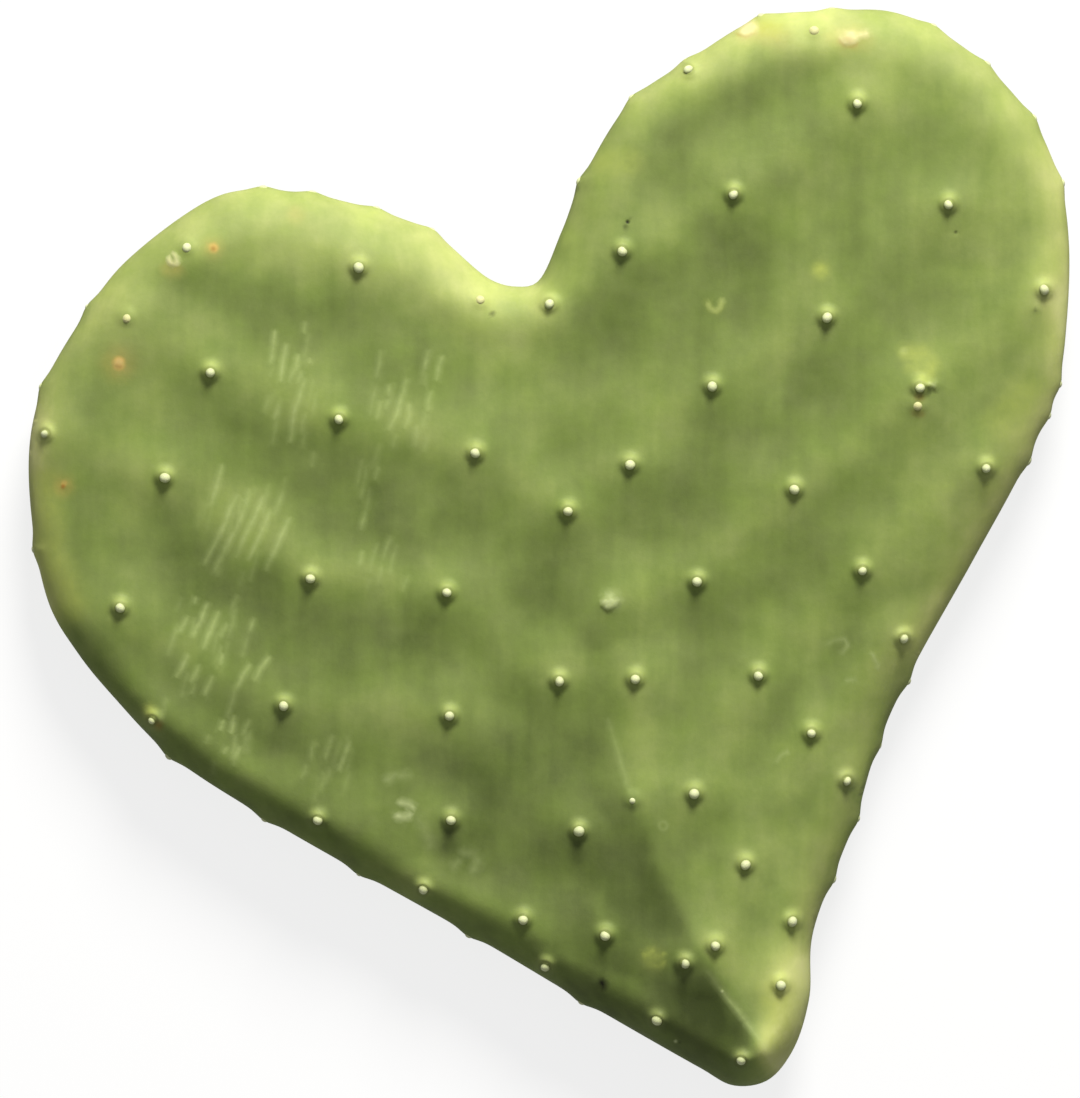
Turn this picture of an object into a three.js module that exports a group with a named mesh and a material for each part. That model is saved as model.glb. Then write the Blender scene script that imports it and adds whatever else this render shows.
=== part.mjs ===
// Prickly pear cactus pad (a heart-shaped, spineless Opuntia cladode), picked and lying on its back.
//
// Units are millimetres and +Z is up. The pad rests on z = 0 on a small flattened spot of its belly.
// The origin lies under the middle of its outline, +Y runs towards the taller lobe and -Y towards
// the stem end. The pad grew in one piece, so it is one closed solid: two skins, front and back,
// that share the rim. Areoles, the swellings under them and the ridges that join them are raised
// from the skins by formulas.

import * as THREE from 'three';

// ---- Overall form ----

const RIM_HEIGHT = 12.5; // height of the rim line above the surface that the pad lies on
const RIM_WAVE = 0.7; // how far the rim line wanders up and down
const RIM_WAVES = 5; // wanders in one trip round the outline
const RIM_WAVE_START = 1; // radians
const RIM_WAVE_REACH = 70; // the wander fades to nothing over this distance, towards the middle
const RIM_HALF_THICKNESS = 8.5; // half the thickness where the rounded rim ends
const RIM_WIDTH = 13; // how far the rounded rim reaches in from the outline
const RIM_LOW_WIDTH = 9; // the same along the lower left side, where the rim is tighter
const RIM_LOW_SIDE = new THREE.Vector2(-0.5, -0.866); // the direction that this side faces
const RIM_LOW_START = 40; // distance that way from the belly at which the rim begins to tighten
const RIM_LOW_END = 85; // and has its low width
const STEM_END = new THREE.Vector2(50, -124); // where the pad grew from its parent
const STEM_RIM_WIDTH = 8; // the rim is blunter at the stem end
const STEM_REACH = 34; // how far from the stem end the pad is stouter
const STEM_SWELL = 1.8; // extra half thickness at the stem end
const FRONT_CROWN = 1.6; // how much the front stands above the inner end of the rim
const FRONT_CROWN_REACH = 55; // distance from the outline over which it rises
const BELLY_CENTRE = new THREE.Vector2(7.5, 6.5); // under the pad's weight
const BELLY_DEPTH = 4.6; // how far the belly would sink below the inner end of the rim
const BELLY_MIDDLE = 10; // it is deepest this near its centre, where the surface flattens it
const BELLY_REACH = 80; // and has risen back this far out

// The outline, seen from above, from the left lobe clockwise round to the left lobe again.
const OUTLINE = [
  [-72, 85.2], [-56.5, 84.1], [-41.7, 80.5], [-28.3, 75.4], [-13.8, 63.8], // left lobe, top
  [-7.9, 62.2], [-3, 63.1], [3, 75.3], [7.6, 87], // the notch between the lobes
  [19.5, 106.3], [32.9, 115.8], [50.5, 126.2], [67, 127.8], [81, 127.8], // right lobe, top
  [92, 123.6], [104.2, 114.8], [115.7, 101.4], [121.9, 86.7], [123.9, 73], // right shoulder
  [123.4, 54], [121.4, 39.8], [113.6, 20.3], [101.3, -2.6], [85.2, -31.6], // right side
  [78.4, -47], [73, -64.8], [62.8, -92.3], [62, -107.5], // right flank of the stem
  [58, -120], [52, -127], [44, -128.2], [36, -124], // stem end
  [8, -108], [-19.5, -91.7], [-45, -77.4], [-68, -64.1], [-90.3, -49.4], // lower left side
  [-103.6, -35.8], [-112.2, -25.3], [-119.5, -12.5], [-124, 20.8], // left shoulder
  [-120.6, 38], [-109.2, 57.6], [-101, 68], [-80.6, 83],
];

// ---- Areoles ----

// Rows of areoles on the front, each followed from the outer side of the pad inwards.
const FRONT_ROWS = [
  [[-86.2, 71.4], [-45.2, 66.5], [-16.2, 58.9]],
  [[-100.5, 54.6], [-80.5, 41.5], [-49.8, 30.4], [-17.4, 22.3], [4.5, 8.5]],
  [[-120, 27], [-91.4, 16.5], [-56.7, -7.5], [-24.3, -10.8], [2.4, -31.8]],
  [[-101.9, -14.4], [-63.1, -37.7], [-23.6, -40.1], [7.1, -67.5]],
  [[-94.5, -41.2], [-55, -65], [-23.3, -64.9]],
  [[-30, -81.6], [-6.2, -88.5], [13.3, -92.3], [32.1, -98.9]],
  [[-1, -99.8], [25.5, -112.6], [45.5, -122]],
  [[33.1, 113.7], [63.1, 123.1]],
  [[73.3, 105.5], [43.8, 83.9], [17.4, 70.4], [0, 58]],
  [[95, 81.5], [66, 54.6], [38.8, 38.2], [19.3, 19.6]],
  [[117.9, 61.1], [88.1, 38], [58.3, 13.7], [35.2, -8.2], [14.3, -13.7]],
  [[104, 18.7], [74.5, -5.6], [49.8, -30.4], [34.5, -58.5]],
  [[84.5, -21.8], [62.4, -44.2], [46.7, -75.4], [39.5, -94.6]],
  [[71, -55.6], [57.9, -89], [55.2, -103.9]],
  [[20.5, -31.3], [19.8, -60.1]],
];

// Areoles that stand out from the rim itself, so that the outline has small corners.
const RIM_AREOLES = [
  [-68.3, 85.8], [-56.9, 84.4], [-41.4, 80.8], [-28.3, 75.1], [8.1, 86.8], [19.5, 106.5],
  [33.1, 115.1], [50.7, 126.1], [66.9, 128], [91.9, 123.7], [103.8, 114.9], [115.7, 101.8],
  [121.7, 86.8], [121, 39.4], [118.8, 31.5], [114.5, 20.8], [84.8, -31.5], [78.8, -47],
  [73.6, -64.9], [68.1, -79.2], [8.1, -108.9], [-19.5, -92.3], [-45, -78], [-68.1, -64.9],
  [-90.7, -49.9], [-121.7, -0.6], [-120.7, 38], [-108.1, 56.5],
];
const RIM_AREOLE_HEIGHT = 0.8;
const RIM_AREOLE_SPREAD = 2.2;

// The back has no rows that need matching, so its areoles follow a rule: arcs round the stem end,
// the spacing growing as the pad grew, and each arc shifted by half a step from the one before.
const BACK_FIRST_ARC = 20;
const BACK_LAST_ARC = 260;
const BACK_ARC_GROWTH = 1.32;
const BACK_SPACING = 31; // the widest spacing between arcs, and between areoles on an arc
const BACK_SPACING_PER_RADIUS = 0.85; // near the stem end they crowd together
const BACK_START_ANGLE = 0.2; // radians from +X
const BACK_WANDER = 3; // how far an areole strays from its place in the rule
const BACK_WANDER_STEPS = [2.4, 4.1]; // radians of wander from areole to areole and arc to arc
const BACK_RIM_CLEARANCE = 11;

const BEAD_HEIGHT = 1.1; // the woolly bead in the middle of an areole
const BEAD_RADIUS = 1.2;
const MOUND_HEIGHT = 1.3; // the green mound that carries the bead
const MOUND_RADIUS = 2.4;
const SWELLING_HEIGHT = 0.9; // the broad swelling (podarium) round the mound
const SWELLING_RADIUS = 9;
const RIDGE_HEIGHT = 0.8; // the soft ridge that runs along a row of areoles
const RIDGE_HALF_WIDTH = 8;

// ---- The keel that runs up the front from the stem end ----

const KEEL_START = new THREE.Vector2(12, -22);
const KEEL_LEAN = 0.079; // how far its crest runs to the right for each step down, at its start
const KEEL_BEND = 0.0033; // and how fast that grows
const KEEL_TILT_COSINE = 0.88; // of the angle between the crest and -Y
const KEEL_HEIGHT = 4.5;
const KEEL_RISE_START = 6; // distance below its start at which it begins to rise
const KEEL_RISE_END = 90; // and reaches its full height
const KEEL_CREST_RADIUS = 3;
const KEEL_LEFT_WIDTH = 17; // it falls steeply to the left
const KEEL_RIGHT_WIDTH = 40; // and gently to the right

// ---- Mesh ----

const OUTLINE_SAMPLES = 720;
const PLAIN_STEP = 4.6; // spacing of the vertices along the outline
const FINE_STEP = 2.1; // the same, next to a rim areole
const FINE_REACH = 3.5;
const RIM_RING_ANGLES = [18, 38, 62]; // degrees up the rounded rim
const RING_FOLD_LIMIT = 0.93; // a ring point this much nearer the outline than it should be is dropped
const LATTICE_STEP = 6.8;
const LATTICE_JITTER = 0.9;
const LATTICE_START = 10.4; // distance of the lattice from the outline
const LATTICE_GAP = 2.2; // and from the rings round an areole
const AREOLE_RINGS = [[1, 6], [2.6, 7], [5.2, 8]]; // radius and number of vertices
const AREOLE_EDGE_GAP = 1.2; // nearest that a ring round an areole comes to the outline
const RIM_RING_GAP = 0.8; // nearest that a rim ring comes to one
const SEED = 11;

const toVector = ([x, y]) => new THREE.Vector2(x, y);
const bell = (distance, width) => Math.exp(-((distance / width) ** 2));

/** Distance from a point to an open or closed chain of points. */
function distanceToChain(point, chain, closed) {
  const along = new THREE.Vector2();
  const offset = new THREE.Vector2();
  let nearest = Infinity;
  const last = closed ? chain.length : chain.length - 1;
  for (let i = 0; i < last; i += 1) {
    along.subVectors(chain[(i + 1) % chain.length], chain[i]);
    offset.subVectors(point, chain[i]);
    const share = THREE.MathUtils.clamp(offset.dot(along) / along.lengthSq(), 0, 1);
    nearest = Math.min(nearest, offset.addScaledVector(along, -share).length());
  }
  return nearest;
}

/** Even-odd test of a point against a closed chain. */
function isInside(point, chain) {
  let inside = false;
  for (let i = 0, j = chain.length - 1; i < chain.length; j = i, i += 1) {
    const a = chain[i];
    const b = chain[j];
    const crosses = a.y > point.y !== b.y > point.y;
    if (crosses && point.x < ((b.x - a.x) * (point.y - a.y)) / (b.y - a.y) + a.x) {
      inside = !inside;
    }
  }
  return inside;
}

/** The smooth outline: points and outward normals at even steps. */
function sampleOutline() {
  const corners = OUTLINE.map(([x, y]) => new THREE.Vector3(x, y, 0));
  const curve = new THREE.CatmullRomCurve3(corners, true, 'centripetal');
  const samples = [];
  for (let i = 0; i < OUTLINE_SAMPLES; i += 1) {
    const share = i / OUTLINE_SAMPLES;
    const place = curve.getPointAt(share);
    const tangent = curve.getTangentAt(share);
    samples.push({
      point: new THREE.Vector2(place.x, place.y),
      outward: new THREE.Vector2(-tangent.y, tangent.x),
    });
  }
  return samples;
}

const outline = sampleOutline();
const outlineChain = outline.map(({ point }) => point);
const stepLength = outlineChain[0].distanceTo(outlineChain[1]);
const frontRows = FRONT_ROWS.map((row) => row.map(toVector));
const frontAreoles = frontRows.flat();
const rimAreoles = RIM_AREOLES.map(toVector);

/** Places of the areoles on the back, by the rule above. */
function placeBackAreoles() {
  const places = [];
  let spacing = BACK_FIRST_ARC * BACK_SPACING_PER_RADIUS;
  let arc = 0;
  for (let radius = BACK_FIRST_ARC; radius < BACK_LAST_ARC; radius += spacing) {
    spacing = Math.min(BACK_SPACING, radius * BACK_SPACING_PER_RADIUS, spacing * BACK_ARC_GROWTH);
    const step = spacing / radius;
    for (let i = 0; (i + 1) * step < Math.PI; i += 1) {
      const angle = (i + (arc % 2) / 2) * step + BACK_START_ANGLE;
      const wander = Math.sin(BACK_WANDER_STEPS[0] * i + BACK_WANDER_STEPS[1] * arc) * BACK_WANDER;
      const reach = radius + wander;
      const place = new THREE.Vector2(Math.cos(angle), Math.sin(angle)).multiplyScalar(reach);
      place.add(STEM_END);
      const distance = distanceToChain(place, outlineChain, true);
      if (isInside(place, outlineChain) && distance > BACK_RIM_CLEARANCE) {
        places.push(place);
      }
    }
    arc += 1;
  }
  return places;
}

const backAreoles = placeBackAreoles();

// ---- Heights of the two skins ----

/** 1 at the stem end, fading to 0 at the given distance from it. */
function stemShare(point) {
  return 1 - THREE.MathUtils.smoothstep(point.distanceTo(STEM_END), 0, STEM_REACH);
}

/** Height of the rim line, which wanders a little up and down round the pad. */
function rimHeight(point) {
  const fromMiddle = point.clone().sub(BELLY_CENTRE);
  const wave = RIM_WAVE * THREE.MathUtils.smoothstep(fromMiddle.length(), 0, RIM_WAVE_REACH);
  const angle = Math.atan2(fromMiddle.y, fromMiddle.x);
  return RIM_HEIGHT + wave * Math.sin(RIM_WAVES * angle + RIM_WAVE_START);
}

/** How far the rounded rim reaches in from the outline near a point. */
function rimWidth(point) {
  const low = point.clone().sub(BELLY_CENTRE).dot(RIM_LOW_SIDE);
  const lowShare = THREE.MathUtils.smoothstep(low, RIM_LOW_START, RIM_LOW_END);
  const width = THREE.MathUtils.lerp(RIM_WIDTH, RIM_LOW_WIDTH, lowShare);
  return THREE.MathUtils.lerp(width, STEM_RIM_WIDTH, stemShare(point));
}

/** The rounded rim: a quarter ellipse from the outline inwards, 0 to 1. */
function rimRise(distance, point) {
  const share = Math.min(distance / rimWidth(point), 1);
  return Math.sqrt(1 - (1 - share) ** 2);
}

/** The keel: a crest that grows as it bends down to the stem end. */
function keelRise(point) {
  const down = Math.max(KEEL_START.y - point.y, 0);
  const crest = KEEL_START.x + KEEL_LEAN * down + KEEL_BEND * down ** 2;
  const offset = (point.x - crest) * KEEL_TILT_COSINE;
  const width = offset > 0 ? KEEL_RIGHT_WIDTH : KEEL_LEFT_WIDTH;
  const rounded = Math.hypot(offset, KEEL_CREST_RADIUS) - KEEL_CREST_RADIUS;
  const height = KEEL_HEIGHT * THREE.MathUtils.smoothstep(down, KEEL_RISE_START, KEEL_RISE_END);
  return height * Math.exp(-rounded / width);
}

/** Ridges along the rows of the front, the strongest one near a point counting alone. */
function ridgeRise(point) {
  const rises = frontRows.map((row) => {
    const distance = distanceToChain(point, row, false);
    return RIDGE_HEIGHT * bell(distance, RIDGE_HALF_WIDTH);
  });
  return Math.max(...rises);
}

/** Swelling, mound and bead of the areoles near a point. */
function areoleRise(point, areoles) {
  let rise = 0;
  for (const areole of areoles) {
    const distance = point.distanceTo(areole);
    if (distance < 3 * SWELLING_RADIUS) {
      rise += SWELLING_HEIGHT * bell(distance, SWELLING_RADIUS);
      rise += MOUND_HEIGHT * bell(distance, MOUND_RADIUS);
      rise += BEAD_HEIGHT * bell(distance, BEAD_RADIUS);
    }
  }
  return rise;
}

function frontHeight(point) {
  const distance = distanceToChain(point, outlineChain, true);
  const rise = rimRise(distance, point);
  const crown = FRONT_CROWN * THREE.MathUtils.smoothstep(distance, 0, FRONT_CROWN_REACH);
  const body = RIM_HALF_THICKNESS + STEM_SWELL * stemShare(point) + keelRise(point);
  const relief = ridgeRise(point) + areoleRise(point, frontAreoles);
  return rimHeight(point) + rise * (body + relief) + crown;
}

function backHeight(point) {
  const distance = distanceToChain(point, outlineChain, true);
  const fromMiddle = point.distanceTo(BELLY_CENTRE);
  const belly = BELLY_DEPTH * (1 - THREE.MathUtils.smoothstep(fromMiddle, BELLY_MIDDLE, BELLY_REACH));
  const body = RIM_HALF_THICKNESS + STEM_SWELL * stemShare(point) + belly;
  const depth = rimRise(distance, point) * (body + areoleRise(point, backAreoles));
  return Math.max(rimHeight(point) - depth, 0);
}

// ---- Vertices ----

/** Stations along the outline, closer together at the rim areoles. */
function placeStations() {
  const stations = [];
  let travelled = Infinity;
  for (const sample of outline) {
    const isFine = rimAreoles.some((areole) => areole.distanceTo(sample.point) < FINE_REACH);
    const step = isFine ? FINE_STEP : PLAIN_STEP;
    travelled += stepLength;
    if (travelled > step) {
      stations.push(sample);
      travelled = 0;
    }
  }
  return stations;
}

/** A station moved in from the outline, with the bulge of any rim areole near it. */
function insetPoint({ point, outward }, inset) {
  let bulge = 0;
  for (const areole of rimAreoles) {
    bulge += RIM_AREOLE_HEIGHT * bell(areole.distanceTo(point), RIM_AREOLE_SPREAD * Math.SQRT2);
  }
  const share = Math.max(0, 1 - inset / RIM_AREOLE_SPREAD);
  return point.clone().addScaledVector(outward, bulge * share - inset);
}

/** Rings of vertices up the rounded rim, thinner the further in they lie. */
function placeRimRings(stations) {
  const rings = RIM_RING_ANGLES.map((degrees, ring) => {
    const share = 1 - Math.cos(THREE.MathUtils.degToRad(degrees));
    const kept = stations.filter((_, i) => ring === 0 || i % 2 === 0);
    return kept
      .map((station) => {
        const inset = share * rimWidth(station.point);
        return { point: insetPoint(station, inset), inset };
      })
      .filter(({ point, inset }) => {
        const distance = distanceToChain(point, outlineChain, true);
        return distance > RING_FOLD_LIMIT * inset || ring === 0;
      })
      .map(({ point }) => point);
  });
  return rings.flat();
}

/** A loosened triangular lattice over the inside of the pad. */
function placeLattice() {
  THREE.MathUtils.seededRandom(SEED);
  const points = [];
  const rowStep = (LATTICE_STEP * Math.sqrt(3)) / 2;
  const bounds = new THREE.Box2().setFromPoints(outlineChain);
  let row = 0;
  for (let y = bounds.min.y; y < bounds.max.y; y += rowStep) {
    for (let x = bounds.min.x + (row % 2) * (LATTICE_STEP / 2); x < bounds.max.x; x += LATTICE_STEP) {
      const point = new THREE.Vector2(x, y);
      point.x += (THREE.MathUtils.seededRandom() - 0.5) * 2 * LATTICE_JITTER;
      point.y += (THREE.MathUtils.seededRandom() - 0.5) * 2 * LATTICE_JITTER;
      const distance = distanceToChain(point, outlineChain, true);
      if (isInside(point, outlineChain) && distance > LATTICE_START) {
        points.push(point);
      }
    }
    row += 1;
  }
  return points;
}

/** Rings of vertices round each areole. */
function placeAreoleRings(areoles) {
  const points = [];
  for (const areole of areoles) {
    points.push(areole);
    for (const [radius, count] of AREOLE_RINGS) {
      for (let i = 0; i < count; i += 1) {
        const angle = (2 * Math.PI * (i + radius)) / count;
        const arm = new THREE.Vector2(Math.cos(angle), Math.sin(angle)).multiplyScalar(radius);
        points.push(arm.add(areole));
      }
    }
  }
  return points.filter((point) => {
    const distance = distanceToChain(point, outlineChain, true);
    return isInside(point, outlineChain) && distance > AREOLE_EDGE_GAP;
  });
}

/** All points of one skin: the shared outline first, then what lies inside it. */
function placeSkin(rimPoints, ringPoints, latticePoints, areoles) {
  const outerRing = AREOLE_RINGS.at(-1)[0];
  const detail = placeAreoleRings(areoles);
  const isFree = (point, reach) => areoles.every((areole) => areole.distanceTo(point) > reach);
  const plain = [
    ...ringPoints.filter((point) => isFree(point, outerRing + RIM_RING_GAP)),
    ...latticePoints.filter((point) => isFree(point, outerRing + LATTICE_GAP)),
  ];
  return [...rimPoints, ...plain, ...detail];
}

// ---- Triangulation ----

/** Circle through three points, as its centre and squared radius. */
function circleThrough(a, b, c) {
  const doubleArea = 2 * (a.x * (b.y - c.y) + b.x * (c.y - a.y) + c.x * (a.y - b.y));
  const sa = a.lengthSq();
  const sb = b.lengthSq();
  const sc = c.lengthSq();
  const x = (sa * (b.y - c.y) + sb * (c.y - a.y) + sc * (a.y - b.y)) / doubleArea;
  const y = (sa * (c.x - b.x) + sb * (a.x - c.x) + sc * (b.x - a.x)) / doubleArea;
  return { x, y, squaredRadius: (a.x - x) ** 2 + (a.y - y) ** 2 };
}

/** Delaunay triangulation by inserting the points one at a time (Bowyer and Watson). */
function triangulate(points) {
  const far = 4000; // the frame is a triangle that holds every point with room to spare
  const frame = [[-far, -far], [far, -far], [0, far]].map(toVector);
  const all = [...points, ...frame];
  const makeTriangle = (i, j, k) => ({ corners: [i, j, k], circle: circleThrough(all[i], all[j], all[k]) });
  const first = points.length;
  let triangles = [makeTriangle(first, first + 1, first + 2)];
  points.forEach((point, index) => {
    const openEdges = new Map();
    const kept = [];
    for (const triangle of triangles) {
      const { x, y, squaredRadius } = triangle.circle;
      if ((point.x - x) ** 2 + (point.y - y) ** 2 >= squaredRadius) {
        kept.push(triangle);
      } else {
        triangle.corners.forEach((from, side) => {
          const to = triangle.corners[(side + 1) % 3];
          if (!openEdges.delete(`${to},${from}`)) {
            openEdges.set(`${from},${to}`, [from, to]);
          }
        });
      }
    }
    for (const [from, to] of openEdges.values()) {
      kept.push(makeTriangle(from, to, index));
    }
    triangles = kept;
  });
  return triangles.map(({ corners }) => corners).filter((corners) => Math.max(...corners) < first);
}

/** Triangles of one skin, counterclockwise from above, without those outside the outline. */
function meshSkin(points, rimPoints) {
  return triangulate(points).filter((corners) => {
    const centre = new THREE.Vector2();
    corners.forEach((index) => centre.addScaledVector(points[index], 1 / 3));
    return isInside(centre, rimPoints);
  });
}

// ---- The pad ----

function makePadGeometry() {
  const stations = placeStations();
  const rimPoints = stations.map((station) => insetPoint(station, 0));
  const ringPoints = placeRimRings(stations);
  const latticePoints = placeLattice();
  const front = placeSkin(rimPoints, ringPoints, latticePoints, frontAreoles);
  const back = placeSkin(rimPoints, ringPoints, latticePoints, backAreoles);
  const rimCount = rimPoints.length;
  const backStart = front.length - rimCount;

  const positions = [];
  front.forEach((point, i) => {
    positions.push(point.x, point.y, i < rimCount ? rimHeight(point) : frontHeight(point));
  });
  back.slice(rimCount).forEach((point) => {
    positions.push(point.x, point.y, backHeight(point));
  });

  const indices = meshSkin(front, rimPoints).flat();
  for (const corners of meshSkin(back, rimPoints)) {
    const [a, b, c] = corners.map((index) => (index < rimCount ? index : index + backStart));
    indices.push(a, c, b);
  }

  const geometry = new THREE.BufferGeometry();
  geometry.setAttribute('position', new THREE.Float32BufferAttribute(positions, 3));
  geometry.setIndex(indices);
  geometry.computeVertexNormals();
  return geometry;
}

const padSkin = new THREE.MeshStandardMaterial({
  color: new THREE.Color('#8a9d57'),
  roughness: 0.5,
  metalness: 0,
});

const pad = new THREE.Mesh(makePadGeometry(), padSkin);
pad.name = 'pad';

const cactusPad = new THREE.Group();
cactusPad.add(pad);

export default cactusPad;
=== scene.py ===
"""Looks of the prickly pear cactus pad: a fine waxy skin, woolly areoles, scars and scratches.

The shape repeats the formulas of the solid model in millimetres, on a mesh fine enough for the
areoles, and turns them into metres at the end. Marks and colours are given in the same
millimetres and reach the material as vertex attributes.
"""

import math

import bmesh
import bpy
import numpy as np
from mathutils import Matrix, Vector
from mathutils.geometry import delaunay_2d_cdt


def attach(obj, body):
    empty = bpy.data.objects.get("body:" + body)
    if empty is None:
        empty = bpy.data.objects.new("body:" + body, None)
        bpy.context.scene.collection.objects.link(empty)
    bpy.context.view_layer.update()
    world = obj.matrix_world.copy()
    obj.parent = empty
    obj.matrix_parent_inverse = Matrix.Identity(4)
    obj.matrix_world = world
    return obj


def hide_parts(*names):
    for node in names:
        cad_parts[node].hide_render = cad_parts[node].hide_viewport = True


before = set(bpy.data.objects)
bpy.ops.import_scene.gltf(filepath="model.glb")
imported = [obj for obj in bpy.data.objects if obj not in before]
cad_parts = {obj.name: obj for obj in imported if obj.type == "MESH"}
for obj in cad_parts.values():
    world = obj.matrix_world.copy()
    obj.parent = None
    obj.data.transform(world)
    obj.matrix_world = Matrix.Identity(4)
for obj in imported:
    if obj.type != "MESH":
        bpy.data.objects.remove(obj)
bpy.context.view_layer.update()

MM = 0.001

# ---- Form, as in the solid model (millimetres) ----

RIM_HEIGHT = 12.5
RIM_WAVE = 0.7
RIM_WAVES = 5
RIM_WAVE_START = 1
RIM_WAVE_REACH = 70
RIM_HALF_THICKNESS = 8.5
RIM_WIDTH = 13
RIM_LOW_WIDTH = 9
RIM_LOW_SIDE = (-0.5, -0.866)
RIM_LOW_START = 40
RIM_LOW_END = 85
STEM_END = (50, -124)
STEM_RIM_WIDTH = 8
STEM_REACH = 34
STEM_SWELL = 1.8
FRONT_CROWN = 1.6
FRONT_CROWN_REACH = 55
BELLY_CENTRE = (7.5, 6.5)
BELLY_DEPTH = 4.6
BELLY_MIDDLE = 10
BELLY_REACH = 80

OUTLINE = [
    (-72, 85.2), (-56.5, 84.1), (-41.7, 80.5), (-28.3, 75.4), (-13.8, 63.8),
    (-7.9, 62.2), (-3, 63.1), (3, 75.3), (7.6, 87),
    (19.5, 106.3), (32.9, 115.8), (50.5, 126.2), (67, 127.8), (81, 127.8),
    (92, 123.6), (104.2, 114.8), (115.7, 101.4), (121.9, 86.7), (123.9, 73),
    (123.4, 54), (121.4, 39.8), (113.6, 20.3), (101.3, -2.6), (85.2, -31.6),
    (78.4, -47), (73, -64.8), (62.8, -92.3), (62, -107.5),
    (58, -120), (52, -127), (44, -128.2), (36, -124),
    (8, -108), (-19.5, -91.7), (-45, -77.4), (-68, -64.1), (-90.3, -49.4),
    (-103.6, -35.8), (-112.2, -25.3), (-119.5, -12.5), (-124, 20.8),
    (-120.6, 38), (-109.2, 57.6), (-101, 68), (-80.6, 83),
]

FRONT_ROWS = [
    [(-86.2, 71.4), (-45.2, 66.5), (-16.2, 58.9)],
    [(-100.5, 54.6), (-80.5, 41.5), (-49.8, 30.4), (-17.4, 22.3), (4.5, 8.5)],
    [(-120, 27), (-91.4, 16.5), (-56.7, -7.5), (-24.3, -10.8), (2.4, -31.8)],
    [(-101.9, -14.4), (-63.1, -37.7), (-23.6, -40.1), (7.1, -67.5)],
    [(-94.5, -41.2), (-55, -65), (-23.3, -64.9)],
    [(-30, -81.6), (-6.2, -88.5), (13.3, -92.3), (32.1, -98.9)],
    [(-1, -99.8), (25.5, -112.6), (45.5, -122)],
    [(33.1, 113.7), (63.1, 123.1)],
    [(73.3, 105.5), (43.8, 83.9), (17.4, 70.4), (0, 58)],
    [(95, 81.5), (66, 54.6), (38.8, 38.2), (19.3, 19.6)],
    [(117.9, 61.1), (88.1, 38), (58.3, 13.7), (35.2, -8.2), (14.3, -13.7)],
    [(104, 18.7), (74.5, -5.6), (49.8, -30.4), (34.5, -58.5)],
    [(84.5, -21.8), (62.4, -44.2), (46.7, -75.4), (39.5, -94.6)],
    [(71, -55.6), (57.9, -89), (55.2, -103.9)],
    [(20.5, -31.3), (19.8, -60.1)],
]

RIM_AREOLES = [
    (-68.3, 85.8), (-56.9, 84.4), (-41.4, 80.8), (-28.3, 75.1), (8.1, 86.8), (19.5, 106.5),
    (33.1, 115.1), (50.7, 126.1), (66.9, 128), (91.9, 123.7), (103.8, 114.9), (115.7, 101.8),
    (121.7, 86.8), (121, 39.4), (118.8, 31.5), (114.5, 20.8), (84.8, -31.5), (78.8, -47),
    (73.6, -64.9), (68.1, -79.2), (8.1, -108.9), (-19.5, -92.3), (-45, -78), (-68.1, -64.9),
    (-90.7, -49.9), (-121.7, -0.6), (-120.7, 38), (-108.1, 56.5),
]
RIM_AREOLE_HEIGHT = 0.8
RIM_AREOLE_SPREAD = 2.2

BACK_FIRST_ARC = 20
BACK_LAST_ARC = 260
BACK_ARC_GROWTH = 1.32
BACK_SPACING = 31
BACK_SPACING_PER_RADIUS = 0.85
BACK_START_ANGLE = 0.2
BACK_WANDER = 3
BACK_WANDER_STEPS = (2.4, 4.1)
BACK_RIM_CLEARANCE = 11

SWELLING_HEIGHT = 0.9
SWELLING_RADIUS = 9
MOUND_HEIGHT = 1.8
MOUND_RADIUS = 2.15
MOUND_SHIFT = (0, 0.35)  # from a bead to the middle of its mound
MOUND_POWER = 3  # steeper sides than a bell
RIDGE_HEIGHT = 0.8
RIDGE_HALF_WIDTH = 8

KEEL_START = (12, -22)
KEEL_LEAN = 0.079  # the crest's step to the right for each step down, at its start
KEEL_BEND = 0.0033
KEEL_TILT_COSINE = 0.88
KEEL_HEIGHT = 4.5
KEEL_RISE_START = 6
KEEL_RISE_END = 90
KEEL_CREST_RADIUS = 3
KEEL_SHARP_RADIUS = 0.8  # of the crest at the stem end, sharper than the solid's
KEEL_LEFT_WIDTH = 17
KEEL_RIGHT_WIDTH = 40

# ---- Finer form, only here ----

BEAD_RADIUS = 1.2
BEAD_SINK = 0.6  # how deep a bead's centre lies under the top of its mound
STEEP_LIFT = 1.1  # how far a bead would stand out more on an upright wall
MOAT_RADIUS = 1.25  # the groove round a bead
MOAT_HALF_WIDTH = 0.27
MOAT_DEPTH = 0.25
LIT_HALO_SHIFT = (0.1, 1.2)  # from a bead to the middle of its pale halo, painted light on the mound's lit upper side
LIT_HALO_RADIUS = 1.7
SWELL_HEIGHT = 0.5
RUFFLE_HEIGHT = 0.05
RUFFLE_WAVES = 14
RUFFLE_LENGTHS = (9, 34)
RUFFLE_BELLY = (20, 45)  # the back's grows between these distances from the belly's centre

SIDE_AREOLES = [(87.6, 33.5)]  # a second one right under another
BLUSHING = [(87.6, 33.5), (-100.5, 54.6), (63.1, 123.1), (-16.2, 58.9)]
BARE = [(14.3, -13.7)]  # healed over, without a bead
LOW = [  # hardly raised, with no moat, no painted shade in a moat and no painted halo
    (14.3, -13.7), (-86.2, 71.4), (63.1, 123.1), (-16.2, 58.9), (19.8, -60.1), (87.6, 33.5),
    (-100.5, 54.6),
]
LOW_MOUND_HEIGHT = 0.6
SMALL = [(19.8, -60.1), (-94.5, -41.2)]
SMALL_SCALE = 0.75
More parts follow.
